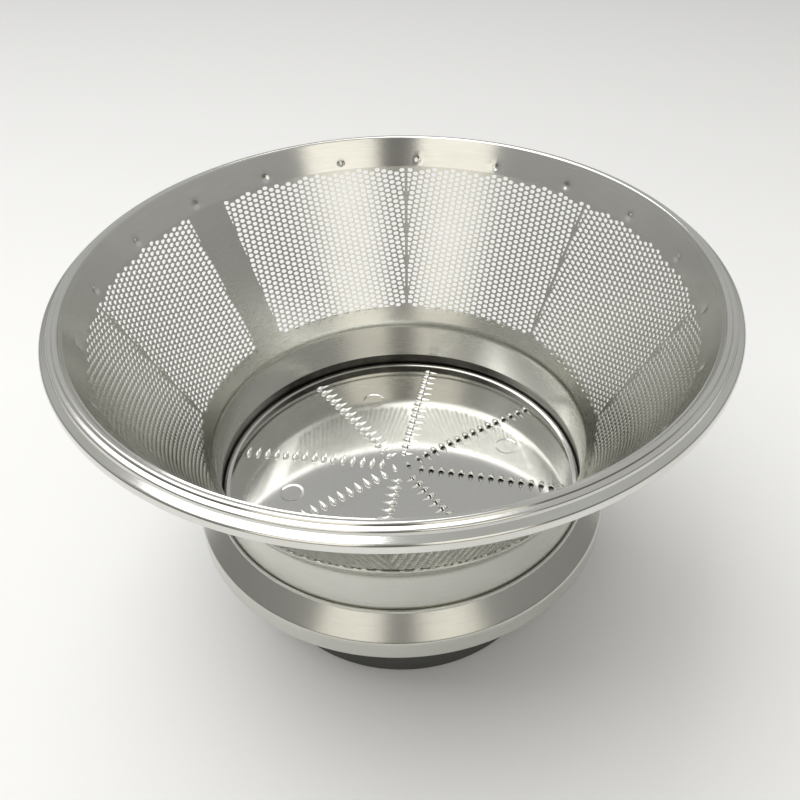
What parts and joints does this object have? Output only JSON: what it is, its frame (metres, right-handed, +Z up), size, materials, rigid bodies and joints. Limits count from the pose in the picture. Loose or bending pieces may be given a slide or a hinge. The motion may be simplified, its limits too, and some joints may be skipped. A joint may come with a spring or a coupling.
{
  "type": "juicer mesh screen",
  "caption": "Round flared filter basket for a centrifugal juicer: perforated steel cone with a rolled rim, a pan with a grater disc in its floor, and a keyed drive hub below.",
  "frame": {"origin": "on the axis, in the plane of the hub's foot", "axes": "+Z up the axis from the foot to the open rim; the mesh's lap seam lies between -X and +Y"},
  "size_m": [0.174, 0.174, 0.1069],
  "materials": {
    "hub_plastic": "satin moulded",
    "pan_steel": "bright pressed",
    "flange_steel": "mirror polished",
    "mesh_steel": "bright etched",
    "rim_steel": "bright rolled",
    "disc_steel": "mirror polished"
  },
  "bodies": {
    "root": {"drive_hub": "hub_plastic", "basket_pan": "pan_steel", "base_flange": "flange_steel", "mesh_cone": "mesh_steel", "rim_ring": "rim_steel", "grater_disc": "disc_steel"}
  },
  "joints": []
}
